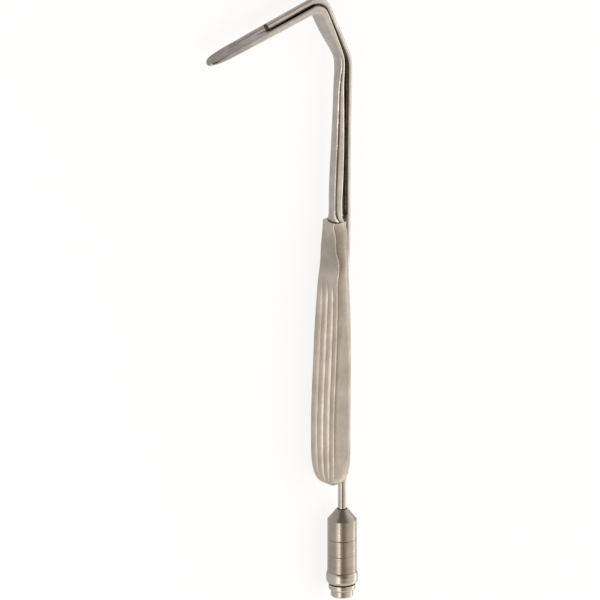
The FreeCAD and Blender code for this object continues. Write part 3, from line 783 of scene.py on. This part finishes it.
@dataclass
class FibreFace:
    """The polished ends of the glass fibres in one end face of the bundle.

    Its heading is in radians from X. Half of each fibre's height is sunk in the face.
    """

    name: str
    finish: PlainFinish
    end: Corner
    heading: float
    bundle_radius_mm: float = 0.93
    fibre_radius_mm: float = 0.042
    pitch_mm: float = 0.092
    height_mm: float = 0.03
    slot: str = "fibre_glass"
    sides: int = 10

    def grid(self) -> bpy.types.Mesh:
        """Make the close-packed places of the fibres.

        Returns:
            A mesh of loose points about its origin.
        """
        rows = round(self.bundle_radius_mm / (self.pitch_mm * ROW_RISE))
        columns = round(self.bundle_radius_mm / self.pitch_mm) + 1
        limit = self.bundle_radius_mm - self.fibre_radius_mm
        spots = []
        for row in range(-rows, rows + 1):
            for column in range(-columns, columns + 1):
                across = (column + (row % 2) / 2) * self.pitch_mm
                up = row * self.pitch_mm * ROW_RISE
                if math.hypot(across, up) <= limit:
                    spots.append((across * MM, up * MM, 0.0))
        mesh = bpy.data.meshes.new(f"{self.name}_places")
        mesh.from_pydata(spots, [], [])
        return mesh

    def tree(self) -> tuple[Tree, str, str, str]:
        """Make the node group that stands a short fibre on each point.

        Returns:
            The group and the identifiers of its radius, height and material inputs.
        """
        tree = bpy.data.node_groups.new(f"{self.name}_fibres", "GeometryNodeTree")
        add_socket(tree, "Places", "NodeSocketGeometry")
        radius = add_socket(tree, "Fibre Radius", "NodeSocketFloat")
        height = add_socket(tree, "Fibre Height", "NodeSocketFloat")
        material = add_socket(tree, "Finish", "NodeSocketMaterial")
        add_socket(tree, "Fibres", "NodeSocketGeometry", out=True)
        given = add_node(tree, "NodeGroupInput")
        fibre = add_node(tree, "GeometryNodeMeshCylinder", inputs={
            "Vertices": self.sides, "Radius": given.outputs["Fibre Radius"],
            "Depth": given.outputs["Fibre Height"],
        })
        points = add_node(
            tree, "GeometryNodeMeshToPoints", inputs={"Mesh": given.outputs["Places"]}
        )
        stood = add_node(tree, "GeometryNodeInstanceOnPoints", inputs={
            "Points": points.outputs["Points"], "Instance": fibre.outputs["Mesh"],
        })
        real = add_node(
            tree, "GeometryNodeRealizeInstances", inputs={"Geometry": stood.outputs["Instances"]}
        )
        finished = add_node(tree, "GeometryNodeSetMaterial", inputs={
            "Geometry": real.outputs["Geometry"], "Material": given.outputs["Finish"],
        })
        add_node(tree, "NodeGroupOutput", inputs={"Fibres": finished.outputs["Geometry"]})
        return tree, radius, height, material

    def build(self) -> None:
        """Stand the fibres in the end face."""
        tree, radius, height, material = self.tree()
        mesh = evaluated_piece(self.name, self.grid(), tree, {
            radius: self.fibre_radius_mm * MM,
            height: self.height_mm * MM,
            material: self.finish.material(),
        })
        facing = Vector((math.cos(self.heading), math.sin(self.heading), 0.0))
        side = Vector((-facing.y, facing.x, 0.0))
        centre = Vector((self.end.x, self.end.y, 0.0)) * MM
        mesh.transform(placed(side, facing.cross(side), facing, centre))
        place_piece(self.name, mesh)
        log.info("stood %d faces of fibres in %s", len(mesh.polygons), self.name)


@dataclass
class FineForms:
    """The small forms that the solids leave out: braze in the joints and the ends of the fibres.

    The seams begin and end at distances along the tube's course.
    """

    forms: tuple[BrazeSeam | FibreFace, ...] = (
        BrazeSeam(
            "bar_braze", BROWN_BRAZE, begin_mm=146.0, end_mm=260.3, radius_mm=1.46, shift_mm=0.13,
        ),
        BrazeSeam(
            "handle_braze", COPPER_BRAZE, begin_mm=42.2, end_mm=45.5, radius_mm=1.6, shift_mm=0.12,
        ),
        FibreFace("exit_fibres", FIBRE_END, TUBE_COURSE[-1], TUBE_END_HEADING),
    )

    def build(self) -> None:
        """Add every fine form."""
        for form in self.forms:
            form.build()


@dataclass(frozen=True)
class Lamp:
    """A rectangular soft lamp that faces the object.

    Its angle is in degrees from Y towards Z, its size is its length along X and its other side, and
    its radiance is one where its face is white.
    """

    name: str
    angle: float
    size: tuple[float, float]
    radiance: float


# Shades of the tent, by how nearly a direction points at its opening, which the lens looks through
TENT_SHADES = (
    (0.0, (0.95, 0.92, 0.87, 1.0)),
    (0.44, (0.93, 0.89, 0.82, 1.0)),
    (0.737, (0.83, 0.78, 0.7, 1.0)),
    (0.839, (0.72, 0.66, 0.56, 1.0)),
    (0.875, (0.5, 0.44, 0.34, 1.0)),
    (0.91, (0.2, 0.165, 0.115, 1.0)),
)


@dataclass
class Studio:
    """The floor, the soft lamps, the tent of the world and the camera."""

    swing: float = math.radians(50)
    lift: float = math.radians(19)
    mm_per_pixel: float = 0.37
    image_width: int = 600
    distance: float = 8.5
    view_reach: float = 40.0
    target: Vector = field(default_factory=lambda: Vector((118.015, 20.185, -0.26)) * MM)

    floor_reach: float = 6.0
    floor_gap: float = 0.05 * MM
    floor_colour: str = "F6F5F3"
    floor_glow: float = 0.8
    glow_colour: str = "FFFFFF"
    glow_strength: float = 1.03

    lamps: tuple[Lamp, ...] = (
        Lamp("key_lamp", 22.0, (1.2, 0.38), 1.05),
        Lamp("strip_lamp", 29.0, (1.2, 0.09), 2.6),
        Lamp("rim_lamp", 163.0, (1.2, 0.3), 1.5),
    )
    lamp_along: float = -0.30
    lamp_distance: float = 0.8
    lamp_colour: tuple[float, float, float] = (1.0, 0.965, 0.93)

    opening_angle: float = math.radians(60)
    opening_along: float = 0.1
    past_tip: tuple[float, float, float] = (0.95, 0.25, 0.2)
    past_tip_begins: float = 0.6
    past_tip_full: float = 0.9
    room_strength: float = 1.2
    past_tip_strength: float = 0.35
    behind_begins: float = 0.3
    behind_full: float = -0.5
    behind_gain: float = 1.3

    def add_camera(self) -> None:
        """Place the camera, with a very long lens, at the photograph's viewing angle."""
        back = Vector((
            math.sin(self.lift),
            math.cos(self.lift) * math.cos(self.swing),
            math.cos(self.lift) * math.sin(self.swing),
        ))
        right = Vector((0.0, -math.sin(self.swing), math.cos(self.swing)))
        data = bpy.data.cameras.new("camera")
        half_width = self.mm_per_pixel * MM * self.image_width / 2
        data.lens = data.sensor_width / 2 * self.distance / half_width
        data.clip_end = self.view_reach
        camera = add_object("camera", data)
        spot = self.target + back * self.distance
        camera.matrix_world = placed(right, back.cross(right), back, spot)
        bpy.context.scene.camera = camera

    def add_lamp(self, lamp: Lamp) -> None:
        """Hang one lamp.

        Args:
            lamp: Its name, place, size and light.
        """
        data = bpy.data.lights.new(lamp.name, "AREA")
        data.shape = "RECTANGLE"
        data.size, data.size_y = lamp.size
        data.energy = lamp.radiance * math.pi * lamp.size[0] * lamp.size[1]
        data.color = self.lamp_colour
        angle = math.radians(lamp.angle)
        away = Vector((self.lamp_along, math.cos(angle), math.sin(angle))).normalized()
        along = (Vector((1, 0, 0)) - away * away.x).normalized()
        spot = self.target + away * self.lamp_distance
        add_object(lamp.name, data).matrix_world = placed(along, away.cross(along), away, spot)

    def floor_material(self) -> bpy.types.Material:
        """Make the floor's material: matt where light falls on it, near white where it is seen.

        Returns:
            The material.
        """
        made = new_material("pale_floor")
        tree = made.node_tree
        ray = add_node(tree, "ShaderNodeLightPath").outputs
        direct = add_math(tree, "MAXIMUM", ray["Is Camera Ray"], ray["Is Glossy Ray"])
        shown = add_math(tree, "MAXIMUM", direct, ray["Is Transmission Ray"])
        matt = add_node(
            tree, "ShaderNodeBsdfDiffuse", inputs={"Color": linear(self.floor_colour)}
        )
        glow = add_node(tree, "ShaderNodeEmission", inputs={
            "Color": linear(self.glow_colour), "Strength": self.glow_strength,
        })
        mix = add_node(tree, "ShaderNodeMixShader", inputs={
            0: add_math(tree, "MULTIPLY", shown, self.floor_glow),
            1: matt.outputs["BSDF"], 2: glow.outputs["Emission"],
        })
        add_node(tree, "ShaderNodeOutputMaterial", inputs={"Surface": mix.outputs["Shader"]})
        return made

    def add_floor(self) -> None:
        """Lay the pale floor just under the instrument."""
        level = CAD_BOX[0].z - self.floor_gap
        reach = self.floor_reach
        corners = [(-reach, -reach), (reach, -reach), (reach, reach), (-reach, reach)]
        mesh = bpy.data.meshes.new("floor")
        mesh.from_pydata([(*corner, level) for corner in corners], [], [(0, 1, 2, 3)])
        mesh.materials.append(self.floor_material())
        floor = add_object("floor", mesh)

    def add_world(self) -> None:
        """Light the room as a pale tent with a darker opening where the lens looks in."""
        world = bpy.data.worlds.new("tent")
        bpy.context.scene.world = world
        world.use_nodes = True
        tree = world.node_tree
        tree.nodes.clear()
        ahead = add_node(tree, "ShaderNodeTexCoord").outputs["Generated"]
        opening = Vector((
            self.opening_along, math.cos(self.opening_angle), math.sin(self.opening_angle),
        ))
        near_opening, near_tip = (
            add_node(
                tree, "ShaderNodeVectorMath", {"operation": "DOT_PRODUCT"},
                {0: ahead, 1: direction.normalized()},
            ).outputs["Value"]
            for direction in (opening, Vector(self.past_tip))
        )
        dimmed = add_fade(
            tree, near_tip, self.past_tip_begins, self.past_tip_full,
            self.room_strength, self.past_tip_strength,
        )
        sideways = add_node(tree, "ShaderNodeSeparateXYZ", inputs={"Vector": ahead}).outputs["Y"]
        backed = add_fade(
            tree, sideways, self.behind_begins, self.behind_full, 1.0, self.behind_gain
        )
        backdrop = add_node(tree, "ShaderNodeBackground", inputs={
            "Color": add_ramp(tree, near_opening, TENT_SHADES),
            "Strength": add_math(tree, "MULTIPLY", dimmed, backed),
        })
        add_node(tree, "ShaderNodeOutputWorld", inputs={"Surface": backdrop.outputs["Background"]})

    def build(self) -> None:
        """Set up the whole studio."""
        bpy.context.scene.view_settings.view_transform = "Standard"
        self.add_camera()
        self.add_floor()
        self.add_world()
        for lamp in self.lamps:
            self.add_lamp(lamp)


def main() -> None:
    """Build the studio and the dressed instrument."""
    logging.basicConfig(level=logging.INFO, format="%(name)s: %(message)s")
    Studio().build()
    Dressing().build()
    FineForms().build()


if __name__ == "__main__":
    main()
